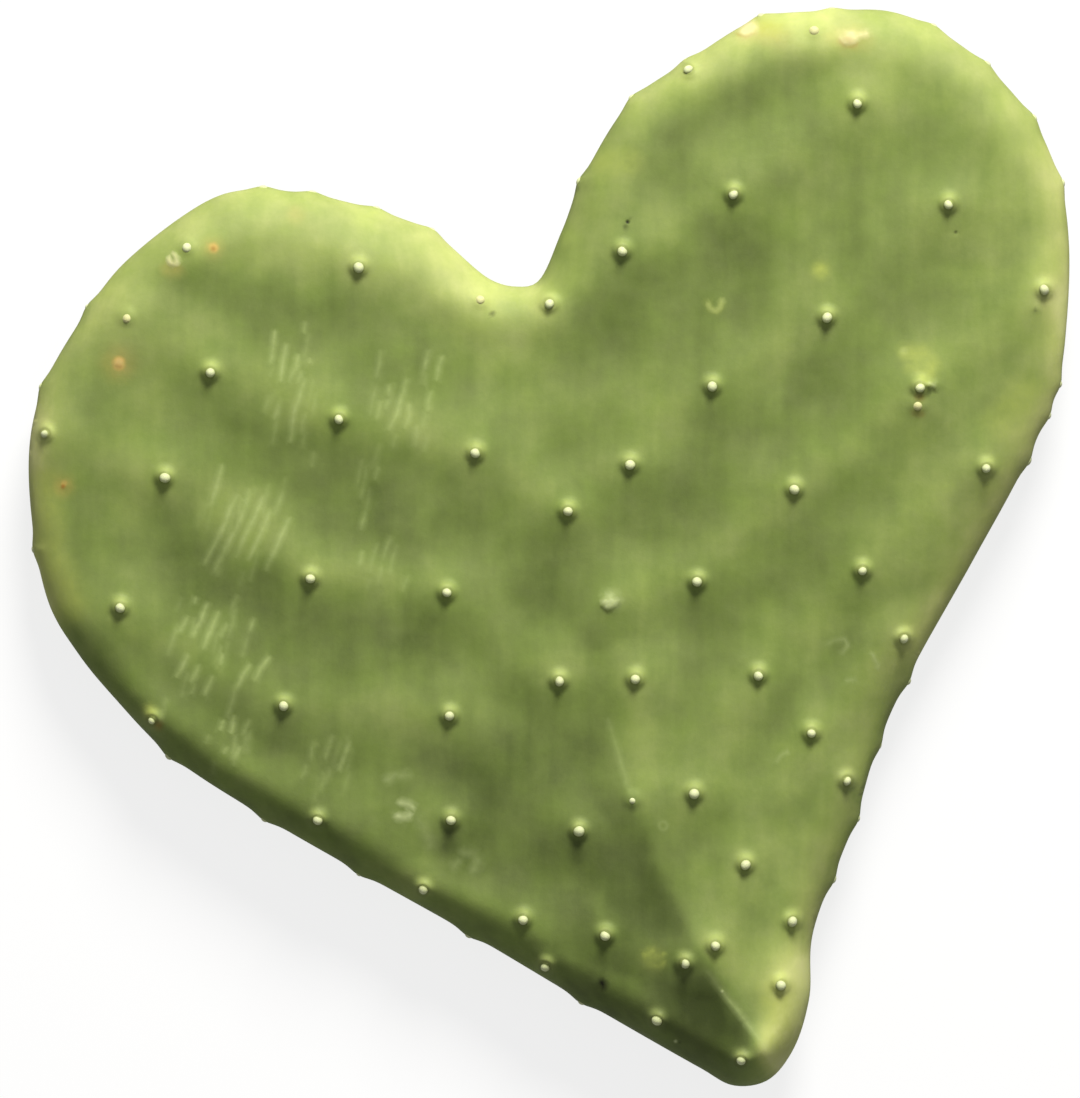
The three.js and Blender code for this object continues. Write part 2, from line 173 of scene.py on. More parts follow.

# Low swells (positive) and hollows of the front: strength, half width, places. Their tone is
# painted too: painted light on the swells, painted shade in the hollows.
SWELLS = [
    (-0.2, 9, [(-82, 62), (-66, 60)]), (-0.9, 9, [(-54, 60), (-47, 50)]),
    (-0.7, 8, [(-86, 38), (-70, 28), (-52, 15), (-36, 13)]),
    (0.8, 8, [(-86, 18), (-72, 8), (-58, -4), (-44, -8)]),
    (-1.0, 8, [(-88, -2), (-74, -12), (-59, -14), (-40, -18), (-26, -22)]),
    (0.5, 8, [(-95, 10), (-100, -12), (-90, -26)]), (-0.7, 9, [(2.6, 42), (8, 52)]),
    (-0.8, 9, [(17, 61), (14, 48)]), (-1.0, 10, [(40.7, 73), (34, 86), (36, 102)]),
    (-0.4, 10, [(46, 105), (58, 110)]), (-0.2, 10, [(71.7, 102), (80, 97)]),
    (-0.5, 8, [(112, 62), (113, 56)]), (-0.8, 9, [(86, 64), (74, 58)]),
    (-0.5, 8, [(64.5, 48), (62, 36)]), (-0.7, 9, [(57, 4), (60, 16)]),
    (-0.7, 8, [(36, -17), (42, -26)]), (-0.8, 9, [(2.6, -3), (-4, -14)]),
    (0.3, 6, [(24, -50), (33, -84)]), (-0.8, 7, [(9, -36), (16, -62), (26, -88)]),
    (0.6, 7, [(40, -91), (44, -80)]), (0.8, 8, [(57, -100), (57, -118)]),
    (3, 6, [(51, -119), (58, -115)]),
]

# Darker and paler patches of the front: tone, half width, places. A few are the skin's own
# mottling; most are painted light and shade.
LIGHT_SHADE_AND_MOTTLE = [
    # painted shade on the keel's left slope, at the stem end and on the lower-left rim
    (-0.2, 17, [(-10, -60), (4, -76), (14, -90)]), (-0.14, 10, [(20, -100), (34, -112)]),
    (-0.12, 4, [(5, -106), (14, -111)]), (-0.06, 18, [(-85, -28), (-60, -34), (-42, -38)]),
    # painted shadows under two beads
    (-0.2, 2, [(-23.4, -67.8), (-23.5, -70.8)]), (-0.12, 1.7, [(6.9, -70.5), (6.9, -74)]),
    # painted shade at the stem end
    (-0.22, 6, [(31, -109), (46, -119)]), (-0.14, 1.6, [(71.8, -57.8), (74.2, -61)]),
    (0.08, 7, [(76, 44), (65, 62)]), (0.09, 7, [(105, 74), (112, 74)]),
    (0.07, 7, [(97, 30), (108, 42)]), (0.08, 8, [(60, 112), (80, 112)]),
    (0.08, 7, [(-50, 48), (-56, 32)]), (0.12, 7, [(-8, -66), (0, -74)]),
    # the patches of 0.22 to 0.5 here and below are painted light along the right margin, the
    # stem's right side and the left margin
    (0.07, 7, [(-57, 31), (-60, 38)]), (0.22, 7, [(121, 92), (124, 62)]),
    (0.35, 7, [(124, 54), (122, 38), (115, 26)]), (0.27, 6, [(110, 14), (100, -3), (89, -22)]),
    (0.4, 7, [(61, -104), (60, -114), (55, -121)]),
    (0.5, 7, [(-127, 32), (-126, 6), (-120, -13)]), (0.08, 6, [(-108, -6), (-106, -14)]),
    (0.07, 6, [(-92, 34), (-98, 44)]), (0.1, 6, [(20, -95), (27, -103)]),
    (0.12, 5, [(63, -87), (63, -98)]), (0.12, 6, [(-41, -77), (-35, -81)]),
    (-0.07, 6, [(-72, 7), (-66, -6)]), (-0.1, 6, [(-48, -66), (-60, -60)]),
    (-0.07, 10, [(46, 110), (64, 112), (60, 98)]), (0.07, 8, [(72, 112), (82, 110)]),
    (0.08, 8, [(-22, 21), (-26, 16)]), (-0.06, 9, [(-52, 2), (-40, -2)]),
    (0.12, 3, [(11.5, -84.5), (13.2, -89)]), (-0.1, 5, [(38, -105), (47, -115)]),
]

# Healed scratches, nearly all on the left lobe: strength and places, all equally wide.
SCRATCH_HALF_WIDTH = 0.74
SCRATCH_SHARE = 0.48
SCRATCH_TAPER = 0.4
SCRATCHES = [
    (1, [(-65.1, 52.3), (-65.5, 48), (-66.1, 43.5)]),
    (1, [(-62.4, 48.9), (-63.3, 43.7), (-63.8, 38.9)]), (0.7, [(-57.9, 54.2), (-58.3, 50.6)]),
    (0.8, [(-59.5, 46.3), (-60.2, 41.8)]), (0.8, [(-56.4, 45.1), (-57.1, 43.5)]),
    (1, [(-57.9, 40.8), (-59.3, 35.6), (-60.7, 32), (-61.1, 26.8), (-61.7, 24.6)]),
    (0.8, [(-64, 35.1), (-64.8, 31.8), (-65.5, 29.9)]),
    (0.7, [(-28.3, 47.5), (-29, 45.4), (-29.5, 43.2), (-30.6, 38.5)]),
    (0.8, [(-25.2, 46.1), (-26.2, 43), (-26.8, 39.2)]),
    (0.8, [(-33.7, 40.6), (-34.8, 36.5), (-36.2, 31.5), (-37.6, 28.9), (-38.3, 27.5)]),
    (0.7, [(-33.2, 34.9), (-33.2, 31.2), (-34.5, 28)]), (0.6, [(-37.9, 39.2), (-38.1, 35.8)]),
    (0.6, [(-31.3, 29.4), (-31.7, 23.5)]),
    (1, [(-77.4, 20.4), (-78.6, 16.3), (-79, 14.6), (-80.5, 9.4)]),
    (1, [(-73.8, 13), (-75.7, 9.6), (-76.9, 5.8), (-79.3, 1.1), (-82.4, -4.6)]),
    (1, [(-71, 14.4), (-72.4, 8.9), (-74, 5.4), (-75.7, 2), (-77.6, -1.5), (-79.8, -6.3)]),
    (1, [(-67.6, 12.7), (-68.8, 9.9), (-70.7, 5.8), (-72.4, 2.3), (-74.5, -2.7)]),
    (1, [(-66, 9.4), (-67.4, 5.8), (-69, 2.3), (-70.2, -0.4), (-71.9, -3.5)]),
    (1, [(-61.4, 7.7), (-62.6, 5.1), (-63.8, 2.3), (-65.5, -1.5), (-67.4, -5.1)]),
    (0.8, [(-85.7, -16.1), (-88.1, -20.6)]), (1, [(-81, -12.5), (-82.6, -17), (-85, -21.5)]),
    (1, [(-78.3, -14.6), (-80.2, -19.2), (-81.4, -21.8), (-82.5, -24.6)]),
    (1, [(-85.4, -24.9), (-87.1, -28.2), (-88.8, -31.1)]),
    (1, [(-83.1, -27.3), (-84, -30.1), (-85.4, -32.5)]),
    (0.9, [(-79.5, -29.9), (-81.2, -33.2), (-82.1, -35.6)]),
    (1, [(-77.4, -24.9), (-78.3, -28.2)]), (0.7, [(-83.8, -11.1), (-84.4, -13.9)]),
    (0.6, [(-76.2, -17.7), (-78.3, -21.5)]),
    (1, [(-70.7, -27.3), (-72.4, -29.6), (-74.5, -33.9)]),
    (1, [(-66, -25.4), (-68.6, -28.7), (-70.2, -32.3)]),
    (1, [(-74.8, -39.6), (-75.2, -43.2), (-76, -44.4)]), (0.9, [(-77.3, -40.6), (-78.3, -43.7)]),
    (0.9, [(-76.3, -47), (-77.6, -49.4)]), (0.9, [(-73.3, -47), (-75, -50.8)]),
    (0.6, [(-71, -40.4), (-72.9, -45.1)]),
    (0.9, [(-47.4, -45.6), (-48.3, -48.9), (-50.2, -53.5)]),
    (0.6, [(-51.2, -44.2), (-53.5, -50.8)]),
    (0.5, [(-54.3, -46.3), (-56.2, -46.8), (-56.7, -50.8)]),
    (0.5, [(13.8, -39.9), (16.5, -49), (19.8, -60.1)]),
    (0.8, [(37.1, -100.1), (41.1, -105.4), (44.3, -109.4), (47.6, -113.7), (51.9, -119.2)]),
]

# Faint scratches that fill the same places: middle, half size, number.
SCRATCH_FIELDS = [
    ((-61, 38), (6, 15), 14),
    ((-33, 36), (8, 13), 14),
    ((-73, 6), (11, 13), 16),
    ((-80, -23), (11, 13), 16),
    ((-76, -44), (6, 6), 6),
    ((-51, -49), (7, 6), 9),
    ((-39, 8), (8, 16), 12),
]
FAINT_LENGTH = (3, 9)
FAINT_ANGLE = (-1.95, -1.7)  # radians from +X
FAINT_BEND = 0.4
FAINT_STRENGTH = (0.2, 0.6)


def circle(x, y, radius, count=12):
    """Places round a circle, for a ring-shaped mark."""
    turns = [2 * math.pi * i / count for i in range(count + 1)]
    return [(x + radius * math.cos(turn), y + radius * math.sin(turn)) for turn in turns]


YELLOW_ARC = [(37.8, 57.9), (38.3, 56.8), (39.5, 56.2), (40.6, 56.9), (41, 58.3)]
CORK_RING = circle(-89.4, 68.4, 1.05)

# Other marks of the front by kind: strength, half width, places. One place makes a spot.
MARKS = {
    "yellow_and_light": [
        (0.7, 2.4, [(51.5, 123.8), (53.5, 123.6)]),
        (0.5, 2.2, [(85.2, 46.2), (89, 46), (90.6, 43.6), (89.6, 41)]),
        (0.35, 2.4, [(86.4, 43.3), (88.5, 42.5)]), (0.65, 2.1, [(64.5, 66)]),
        (0.35, 0.9, YELLOW_ARC), (0.3, 3.4, [(13, 91.5), (19, 91.8)]), (0.6, 1.8, [(-95, -38.9)]),
        (0.35, 2.9, [(24.8, -97.7)]), (0.55, 1.1, [(23, -96.6), (24.4, -95.9)]),
        (0.5, 1, [(25.4, -99.4), (26.8, -99)]), (0.4, 0.8, [(27.2, -96.6)]),
        # the stripe at the stem's right side, (55, -106) to (56, -116), is partly the skin's own
        # paler colour and partly painted light
        (0.4, 4, [(-120, 16), (-119, 0), (-114, -14)]), (0.5, 5, [(55, -106), (56, -116)]),
        (0.25, 5, [(112, 36), (108, 30)]),
    ],
    "pale": [
        (0.7, 0.9, [(-35.4, -60.6), (-33.6, -60.9), (-32.4, -61.7)]),
        (0.75, 1, [(-36, -63.8), (-34.2, -64.1), (-33, -63.6)]),
        (0.16, 1.1, [(-22.4, -75.8), (-21.4, -74.2)]),
        (0.2, 1.3, [(-20.4, -72.6), (-18, -72.8), (-16.9, -74.6), (-18, -76.4)]),
        (0.35, 1, [(84.4, 46.6)]), (0.3, 0.6, YELLOW_ARC),
        (0.35, 0.5, [(76.9, -25.4), (78.3, -28)]), (0.6, 0.45, [(90.4, 39), (91.9, 38.8)]),
        (0.3, 1.1, [(-38.4, -55.3), (-37.4, -54.6)]), (0.2, 1.1, [(-35, -54.2), (-33.9, -54)]),
        (0.15, 1.3, [(-31, -64.4), (-28, -70.3)]), (0.16, 0.4, circle(27.1, -66.1, 1)),
        (0.2, 0.55, [(66.5, -22.8), (68, -22), (70.3, -21.8), (71.2, -23.4), (70, -24.8)]),
        (0.22, 0.6, [(70.8, -31.7), (72.4, -31.4)]),
        (0.2, 0.5, [(54.2, -50.8), (55, -49.4), (56.6, -48.6)]), (1, 0.4, [(30.1, -117.4)]),
        (0.45, 1.6, [(14.4, -11.6), (15.6, -13)]), (0.9, 0.8, [(13, -12.9), (15.8, -12.7)]),
        (0.9, 0.75, [(13.7, -13.9), (14.7, -13.8)]), (0.8, 0.35, [(41.1, -105.4)]),
        (0.9, 0.5, CORK_RING),
    ],
    "nub": [
        (1.7, 0.75, [(90.5, 38.6)]), (1.5, 0.6, [(91.9, 38.4)]), (0.9, 1.4, [(7.6, 87.5)]),
        (0.9, 1.2, [(-121.5, -0.6)]), (0.7, 1.5, [(-70, 85.5), (-67, 85.8)]),
        (0.5, 0.8, [(115.7, 56.8)]),
    ],
    "cork": [
        (1, 1.6, [(46.9, 123.1), (48, 123.6)]), (1, 1.75, [(70.7, 121.2), (72.2, 121.4)]),
        (0.8, 0.85, [(73.6, 121.7), (74.6, 122), (75.6, 122.2)]), (0.6, 0.5, CORK_RING),
        (0.25, 1.2, [(-102.3, 43.8)]),
    ],
    "orange": [
        (0.15, 3, [(47.2, 122.8)]), (0.2, 3, [(70.6, 121), (72.8, 121.1)]),
        (0.12, 2.5, [(67.5, 121.5), (75, 120.5)]), (1, 1.8, [(-102.3, 43.8)]),
        (0.22, 4, [(-102.3, 43.8)]), (0.6, 1, [(-115.3, 15.3)]), (0.25, 2.6, [(-115.5, 14.6)]),
        (0.8, 1.5, [(-79.8, 71.2)]), (0.2, 2.6, [(-79.8, 71.2)]),
        (0.22, 1.8, [(-90.5, 66.2), (-88.6, 65.8)]), (0.15, 2.2, [(-60.2, 79.2)]),
    ],
    "rust_and_shade": [
        (0.3, 0.9, [(70.6, 120.9), (71.6, 120.5)]),
        (0.25, 0.4, [(69.4, 120.1), (70.4, 119.2), (72, 119), (73.5, 119.9)]),
        (0.3, 0.4, [(45, 122.1), (46.7, 121.5), (49, 122.3)]), (0.6, 0.6, [(-79.8, 71.1)]),
        (0.3, 0.5, [(-102.7, 43.4), (-101.9, 43.1)]), (0.2, 1, [(86.9, 31.9), (88.4, 31.8)]),
        # the one at (88, 35.8) is painted brown shade between the side areole and the one above it
        (0.8, 0.6, [(-115.5, 14.5)]), (0.35, 1.2, [(-92.9, -42.3)]), (0.25, 1.3, [(88, 35.8)]),
        (0.15, 3, [(52, 122), (55, 121.4)]),
    ],
    "specks_and_shadows": [
        (1, 0.5, [(18.7, 77.4)]), (0.35, 0.7, [(18.2, 76.2)]), (1, 0.5, [(-13.3, 55.4)]),
        (0.9, 0.9, [(12.6, -103.4), (12.9, -104.6)]), (0.6, 0.4, [(96.7, 74.9)]),
        # the wide faint one at (9.4, 86) is painted shade beside a nub
        (0.4, 0.5, [(115.7, 56.5)]), (0.12, 2, [(9.4, 86)]), (0.5, 0.4, [(31.2, -117.6)]),
        (0.3, 0.35, [(12.3, -14.2), (13.9, -15.6), (16.3, -14)]),
        # painted shadows under the two nubs and under the low bead at (19.8, -60.1)
        (0.35, 0.4, [(91, 37.3), (92.8, 37.2)]), (0.2, 0.6, [(19.7, -61.8), (19.4, -64.4)]),
        (0.75, 0.45, [(-89.5, 68.3)]),
    ],
}
MARK_POWER = {kind: 3 for kind in MARKS} | {"nub": 2, "cork": 4}
MARK_RELIEF = {"pale": 0.12, "nub": 0.7, "cork": 0.4, "rust_and_shade": 0.08, "specks_and_shadows": -0.25}

# ---- Looks (linear colours, light) ----

TONE_MIDDLE = 0.442
# Painted light on the ridges along the areole rows and painted shade between them.
RIDGE_LIGHT_AND_SHADE = 0.1
# Painted light on the swells and painted shade in the hollows.
SWELL_LIGHT_AND_SHADE = 0.08
# The margin's own paler band, left off as painted shade on the lower-left side that faces away
# from the key light.
TONE_MARGIN = 0.16
# Painted light: the margin on the side that faces the key light is paler still, over its own paler
# tone.
MARGIN_REACH = 8
TONE_LIT_RIM = 0.16
LIT_RIM_SIDE = (0.26, 0.966)
LIT_RIM_TURN = (-0.1, 0.9)  # it fades in between these cosines of the angle to its side
LIT_RIM_REACH = 19
# the lower-left side, turned from the key light, where the pale margin is left off as painted
# shade
SHADED_RIM_SIDE = (-0.45, -0.89)
SHADED_RIM_TURN = (0.1, 0.9)
# Painted light on the mounds' lit upper sides.
LIT_HALO_SHARE = 0.5
ROUND_THE_RIM = 6  # how far the front's patches and marks reach on round the rim
# Painted shade left of the keel's crest and painted light right of it.
KEEL_LIGHT_AND_SHADE = 0.13
KEEL_STEP_WIDTH = 1.5
KEEL_TONE_REACH = 14
SKIN_COLOURS = [
    (0, (0.056, 0.075, 0.019)),
    (0.25, (0.124, 0.164, 0.043)),
    (0.45, (0.212, 0.28, 0.07)),
    (0.65, (0.33, 0.4, 0.111)),
    (0.85, (0.51, 0.56, 0.182)),
    (1, (0.655, 0.69, 0.258)),
]
SKIN_TINTS = [(0.3, (0.97, 1, 0.92)), (0.7, (1.035, 1, 1.15))]
MARK_COLOURS = {  # each mixed over the ones before it
    "scratch": (0.48, 0.57, 0.22, 1),
    "pale": (0.5, 0.57, 0.26, 1),
    # painted light on the mounds' lit upper sides
    "halo": (0.5, 0.57, 0.19, 1),
    # marks of the skin's own colour, and painted light at the stem's right side
    "yellow_and_light": (0.45, 0.51, 0.11, 1),
    "orange": (0.7, 0.46, 0.13, 1),
    "cork": (0.68, 0.64, 0.31, 1),
    # brown scars, and painted shade between two beads
    "rust_and_shade": (0.38, 0.2, 0.04, 1),
    # dark specks, and painted shadows under two nubs and a bead
    "specks_and_shadows": (0.02, 0.022, 0.01, 1),
}
MARK_RAGGEDNESS = 1.6
MARK_LEAST = 0.2  # what is left of a mark where its noise is 0
# Painted shade in the groove round each bead.
MOAT_SHADE_COLOUR = (0.1, 0.11, 0.025, 1)
MOAT_SHADE_SHARE = 0.28
MOAT_SHADE_HALF_WIDTH = MOAT_HALF_WIDTH * 1.2
# Up a bead from foot to top: the wool's own colour, with painted shade towards the foot and
# painted light on top.
WOOL_COLOURS_AND_SHADE = [
    (0, (0.3, 0.34, 0.14)),
    (0.3, (0.56, 0.61, 0.31)),
    (0.65, (0.68, 0.74, 0.4)),
    (1, (0.77, 0.82, 0.48)),
]
WOOL_BLUSH = (0.67, 0.63, 0.27, 1)
BLUSH_SHARE = 0.7
FAINT_BLUSH = 0.12
FUZZ_SHARE = 0.3
CROWN_SHIFT = 0.15

# Noises: features a metre, detail and, for the streaks, stretch.
CLOUD_NOISE = (38, 3)
PATCH_NOISE = (120, 4)
STREAK_NOISE = (260, 3, (1, 0.16, 1))
GRAIN_NOISE = (1100, 3)
TINT_NOISE = (110, 4)
MOTTLE_NOISE = (420, 3)
PORE_NOISE = (2600, 2)
FUZZ_NOISE = (3200, 3)
TONE_NOISES = [(CLOUD_NOISE, 0.36), (PATCH_NOISE, 0.24), (STREAK_NOISE, 0.15), (GRAIN_NOISE, 0.05)]

# Bumps: strength and depth.
PORE_BUMP = (0.25, 0.06)
PATCH_BUMP = (0.35, 0.5)
FUZZ_BUMP = (0.4, 0.12)

SKIN_ROUGHNESS = 0.5
PATCH_ROUGHNESS = 0.14
CORK_ROUGHNESS = 0.25
SKIN_SHADER = {
    "Subsurface Weight": 0.12,
    "Subsurface Radius": (1, 1, 0.4),
    "Subsurface Scale": 1.2 * MM,
    "Specular IOR Level": 0.14,
}
WOOL_SHADER = {
    "Subsurface Weight": 0.2,
    "Subsurface Radius": (1, 1, 0.8),
    "Subsurface Scale": 0.6 * MM,
    "Specular IOR Level": 0.25,
    "Roughness": 0.6,
}

BEAD_FLATNESS = 0.85
BEAD_SIZES = (0.92, 1.08)
BEAD_OVALS = (0.92, 1.05)
BEAD_LUMPS = 4
BEAD_LUMP_HEIGHTS = (-0.2, 0.14)
BEAD_TURN = (0.3, 0.9, 0.2)  # crossed with a bead's direction, it gives the bead's side
BEAD_LOWEST = BEAD_RADIUS * 1.1  # of its centre, so that no bead reaches the floor
RIM_BEAD_OUT = 0.65  # how far outside the outline a rim bead's foot lies, inside its bulge

FLOOR_SIZE = 6  # metres, as the key light's and the camera's distances are
FLOOR_SHADER = {
    "Base Color": (0.2, 0.2, 0.2, 1),
    "Emission Color": (1, 1, 1, 1),
    "Emission Strength": 0.8,
    "Roughness": 0.9,
}
SKY_STRENGTH = 0.26
KEY_AZIMUTH = 80  # from +X towards +Y, in degrees
KEY_ELEVATION = 33
KEY_DISTANCE = 1.8
KEY_SIZE = 0.7
KEY_POWER = 48
KEY_COLOUR = (1, 0.98, 0.93)
PHOTO_HEIGHT = 1098  # pixels
PHOTO_SCALE = 4.2  # pixels per millimetre
FRAME_MIDDLE = (-2.14, -0.36)
CAMERA_DISTANCE = 4
CAMERA_FOCUS_HEIGHT = 16
SENSOR_WIDTH = 36

# ---- Mesh ----

OUTLINE_STEPS = 24  # samples between two points of the outline
RIM_STEP = 1.3
RIM_RING_COUNT = 13
FRONT_LATTICE_STEP = 1.3
BACK_LATTICE_STEP = 1.7
AREOLE_RINGS = [
    (0.55, 8), (0.95, 12), (1.2, 16), (1.45, 18), (1.75, 20), (2.1, 20), (2.5, 20),
    (2.95, 20), (3.5, 20), (4.15, 20), (4.95, 20),
]
AREOLE_CLEARING = 5.2
LATTICE_JITTER = 0.12  # in steps
LATTICE_START = 0.93  # in rim widths
LATTICE_GAP = 0.8
RING_FOLD_LIMIT = 0.97  # share of its inset that a ring point must lie from the outline
RING_FOLD_SLACK = 0.02
EDGE_GAP = 0.09
MARK_GAP = 0.7
MARK_RINGS = [(0.4, 6), (0.7, 9), (0.95, 12), (1.2, 14), (1.6, 16)]  # radius in half widths
MARK_OFFSETS = (-2, -1, 0, 1, 2)  # in half widths
MARK_STEP = 1.0
SEAM_GAP = 0.25  # of the areoles' and marks' points, one is kept in each cell of this size
MERGE_GAP = 1e-7
SLOPE_STEP = 0.1
CHUNK = 2000  # points compared with a chain at a time
SMALL_CHUNK = 200  # points compared with many others at a time
SEED = 23


def bell(distance, width):
    return np.exp(-((distance / width) ** 2))


def smooth_step(value, low, high):
    share = np.clip((value - low) / (high - low), 0, 1)
    return share * share * (3 - 2 * share)


def distance_to(points, place):
    return np.hypot(points[:, 0] - place[0], points[:, 1] - place[1])


def unit(angle):
    return np.array([math.cos(angle), math.sin(angle)])


def is_listed(place, listed):
    return any(math.dist(place[:2], other) < 1 for other in listed)


def closed_spline(corners, steps):
    """Centripetal Catmull-Rom curve through the corners, closed."""
    corners = np.array(corners, float)
    samples = []
    for i in range(len(corners)):
        before, start, end, after = (corners[(i + k) % len(corners)] for k in (-1, 0, 1, 2))
        gaps = [math.dist(a, b) ** 0.5 for a, b in ((before, start), (start, end), (end, after))]
        leave = (start - before) / gaps[0] - (end - before) / (gaps[0] + gaps[1])
        leave = (leave + (end - start) / gaps[1]) * gaps[1]
        arrive = (end - start) / gaps[1] - (after - start) / (gaps[1] + gaps[2])
        arrive = (arrive + (after - end) / gaps[2]) * gaps[1]
        for t in np.arange(steps) / steps:
            bend = (2 * t**3 - 3 * t**2 + 1) * start + (3 * t**2 - 2 * t**3) * end
            samples.append(bend + (t**3 - 2 * t**2 + t) * leave + (t**3 - t**2) * arrive)
    return np.array(samples)


def even_steps(chain, step):
    """The closed chain again, at even steps, with its outward normals."""
    loop = np.vstack([chain, chain[:1]])
    travelled = np.concatenate([[0], np.cumsum(np.hypot(*np.diff(loop, axis=0).T))])
    stops = np.linspace(0, travelled[-1], round(travelled[-1] / step), endpoint=False)
    points = np.stack([np.interp(stops, travelled, loop[:, k]) for k in (0, 1)], 1)
    tangents = np.roll(points, -1, 0) - np.roll(points, 1, 0)
    tangents /= np.hypot(*tangents.T)[:, None]
    return points, np.stack([-tangents[:, 1], tangents[:, 0]], 1)


def nearest_on_chain(points, chain, closed=False):
    """Distance, side, share of the way along and nearest place for each point."""
    chain = np.array(chain, float)
    starts = chain if closed else chain[:-1]
    along = (np.roll(chain, -1, 0) if closed else chain[1:]) - starts
    squared_lengths = (along**2).sum(1)
    parts = []
    for low in range(0, len(points), CHUNK):
        offset = points[low:low + CHUNK, None] - starts
        share = np.clip((offset * along).sum(2) / squared_lengths, 0, 1)
        side = along[:, 0] * offset[..., 1] - along[:, 1] * offset[..., 0]
        gap = offset - along * share[..., None]
        squared = (gap**2).sum(2)
        best = squared.argmin(1)
        rows = np.arange(len(best))
        parts.append(np.column_stack([
            np.sqrt(squared[rows, best]),
            np.where(side[rows, best] >= 0, 1, -1),
            (best + share[rows, best]) / len(starts),
            gap[rows, best],
        ]))
    distance, side, progress, gap_x, gap_y = np.vstack(parts).T
    return distance, side, progress, points - np.stack([gap_x, gap_y], 1)


def is_inside(points, chain):
    """Even-odd test against a closed chain."""
    ends = np.roll(chain, -1, 0)
    inside = []
    for low in range(0, len(points), CHUNK):
        x, y = points[low:low + CHUNK, None].transpose(2, 0, 1)
        crosses = (chain[:, 1] > y) != (ends[:, 1] > y)
        rise = np.where(ends[:, 1] == chain[:, 1], 1, ends[:, 1] - chain[:, 1])
        reach = (ends[:, 0] - chain[:, 0]) * (y - chain[:, 1]) / rise + chain[:, 0]
        inside.append((crosses & (x < reach)).sum(1) % 2 == 1)
    return np.concatenate(inside)


outline_chain = closed_spline(OUTLINE, OUTLINE_STEPS)
front_areoles = np.array([place for row in FRONT_ROWS for place in row] + SIDE_AREOLES, float)
rim_areoles = np.array(RIM_AREOLES, float)


def place_back_areoles():
    """Arcs round the stem end, as in the solid model."""
    places = []
    spacing = BACK_FIRST_ARC * BACK_SPACING_PER_RADIUS
    radius = BACK_FIRST_ARC
    arc = 0
    while radius < BACK_LAST_ARC:
        spacing = min(BACK_SPACING, radius * BACK_SPACING_PER_RADIUS, spacing * BACK_ARC_GROWTH)
        step = spacing / radius
        i = 0
        while (i + 1) * step < math.pi:
            angle = (i + (arc % 2) / 2) * step + BACK_START_ANGLE
            wander = math.sin(BACK_WANDER_STEPS[0] * i + BACK_WANDER_STEPS[1] * arc) * BACK_WANDER
            places.append(unit(angle) * (radius + wander) + STEM_END)
            i += 1
        arc += 1
        radius += spacing
    places = np.array(places)
    distance = nearest_on_chain(places, outline_chain, True)[0]
    return places[is_inside(places, outline_chain) & (distance > BACK_RIM_CLEARANCE)]


back_areoles = place_back_areoles()
woolly_areoles = np.array([place for place in front_areoles if not is_listed(place, BARE)])

# ---- Heights of the two skins ----


def stem_share(points):
    return 1 - smooth_step(distance_to(points, STEM_END), 0, STEM_REACH)


def rim_height(points):
    from_middle = points - BELLY_CENTRE
    angle = np.arctan2(from_middle[:, 1], from_middle[:, 0])
    wave = RIM_WAVE * smooth_step(np.hypot(*from_middle.T), 0, RIM_WAVE_REACH)
    return RIM_HEIGHT + wave * np.sin(RIM_WAVES * angle + RIM_WAVE_START)


def rim_width(points):
    low = (points - BELLY_CENTRE) @ RIM_LOW_SIDE
    low_share = smooth_step(low, RIM_LOW_START, RIM_LOW_END)
    width = RIM_WIDTH + (RIM_LOW_WIDTH - RIM_WIDTH) * low_share
    return width + (STEM_RIM_WIDTH - width) * stem_share(points)


def keel_place(points):
    """How far to the right of the keel's crest each point lies, and the keel's growth there."""
    down = np.maximum(KEEL_START[1] - points[:, 1], 0)
    crest = KEEL_START[0] + KEEL_LEAN * down + KEEL_BEND * down**2
    growth = smooth_step(down, KEEL_RISE_START, KEEL_RISE_END)
    return (points[:, 0] - crest) * KEEL_TILT_COSINE, growth


def keel_rise(points):
    offset, growth = keel_place(points)
    width = np.where(offset > 0, KEEL_RIGHT_WIDTH, KEEL_LEFT_WIDTH)
    radius = KEEL_CREST_RADIUS + (KEEL_SHARP_RADIUS - KEEL_CREST_RADIUS) * growth
    return KEEL_HEIGHT * growth * np.exp(-(np.hypot(offset, radius) - radius) / width)


def keel_light_and_shade(points):
    """Painted shade left of the crest, where the slope turns from the key light, and painted light
    right of it, with a soft step between.
    """
    offset, growth = keel_place(points)
    step = np.tanh(offset / KEEL_STEP_WIDTH)
    return KEEL_LIGHT_AND_SHADE * growth * step * np.exp(-np.abs(offset) / KEEL_TONE_REACH)


def ridge_share(points):
    shares = [bell(nearest_on_chain(points, row)[0], RIDGE_HALF_WIDTH) for row in FRONT_ROWS]
    return np.max(shares, 0)


def stroke_share(points, half_width, places, power=2, taper=0):
    """1 on the line through the places, or on the single place, and fading off it."""
    if len(places) == 1:
        return np.exp(-((distance_to(points, places[0]) / half_width) ** power))
    distance, _, progress, _ = nearest_on_chain(points, places)
    fullness = (4 * progress * (1 - progress)) ** taper
    return fullness * np.exp(-((distance / half_width) ** power))


def strokes_share(points, strokes, power=2, taper=0):
    """The strongest of several strokes at each point; with a taper they thin to their ends."""
    share = np.zeros(len(points))
    for strength, half_width, places in strokes:
        corners = np.array(places, float)
        reach = half_width * 3
        low, high = corners.min(0) - reach, corners.max(0) + reach
        near = ((points > low) & (points < high)).all(1)
        if near.any():
            stroke = strength * stroke_share(points[near], half_width, places, power, taper)
            share[near] = np.maximum(share[near], stroke)
    return share


def summed_strokes(points, strokes):
    share = np.zeros(len(points))
    for strength, half_width, places in strokes:
        share += strength * stroke_share(points, half_width, places)
    return share


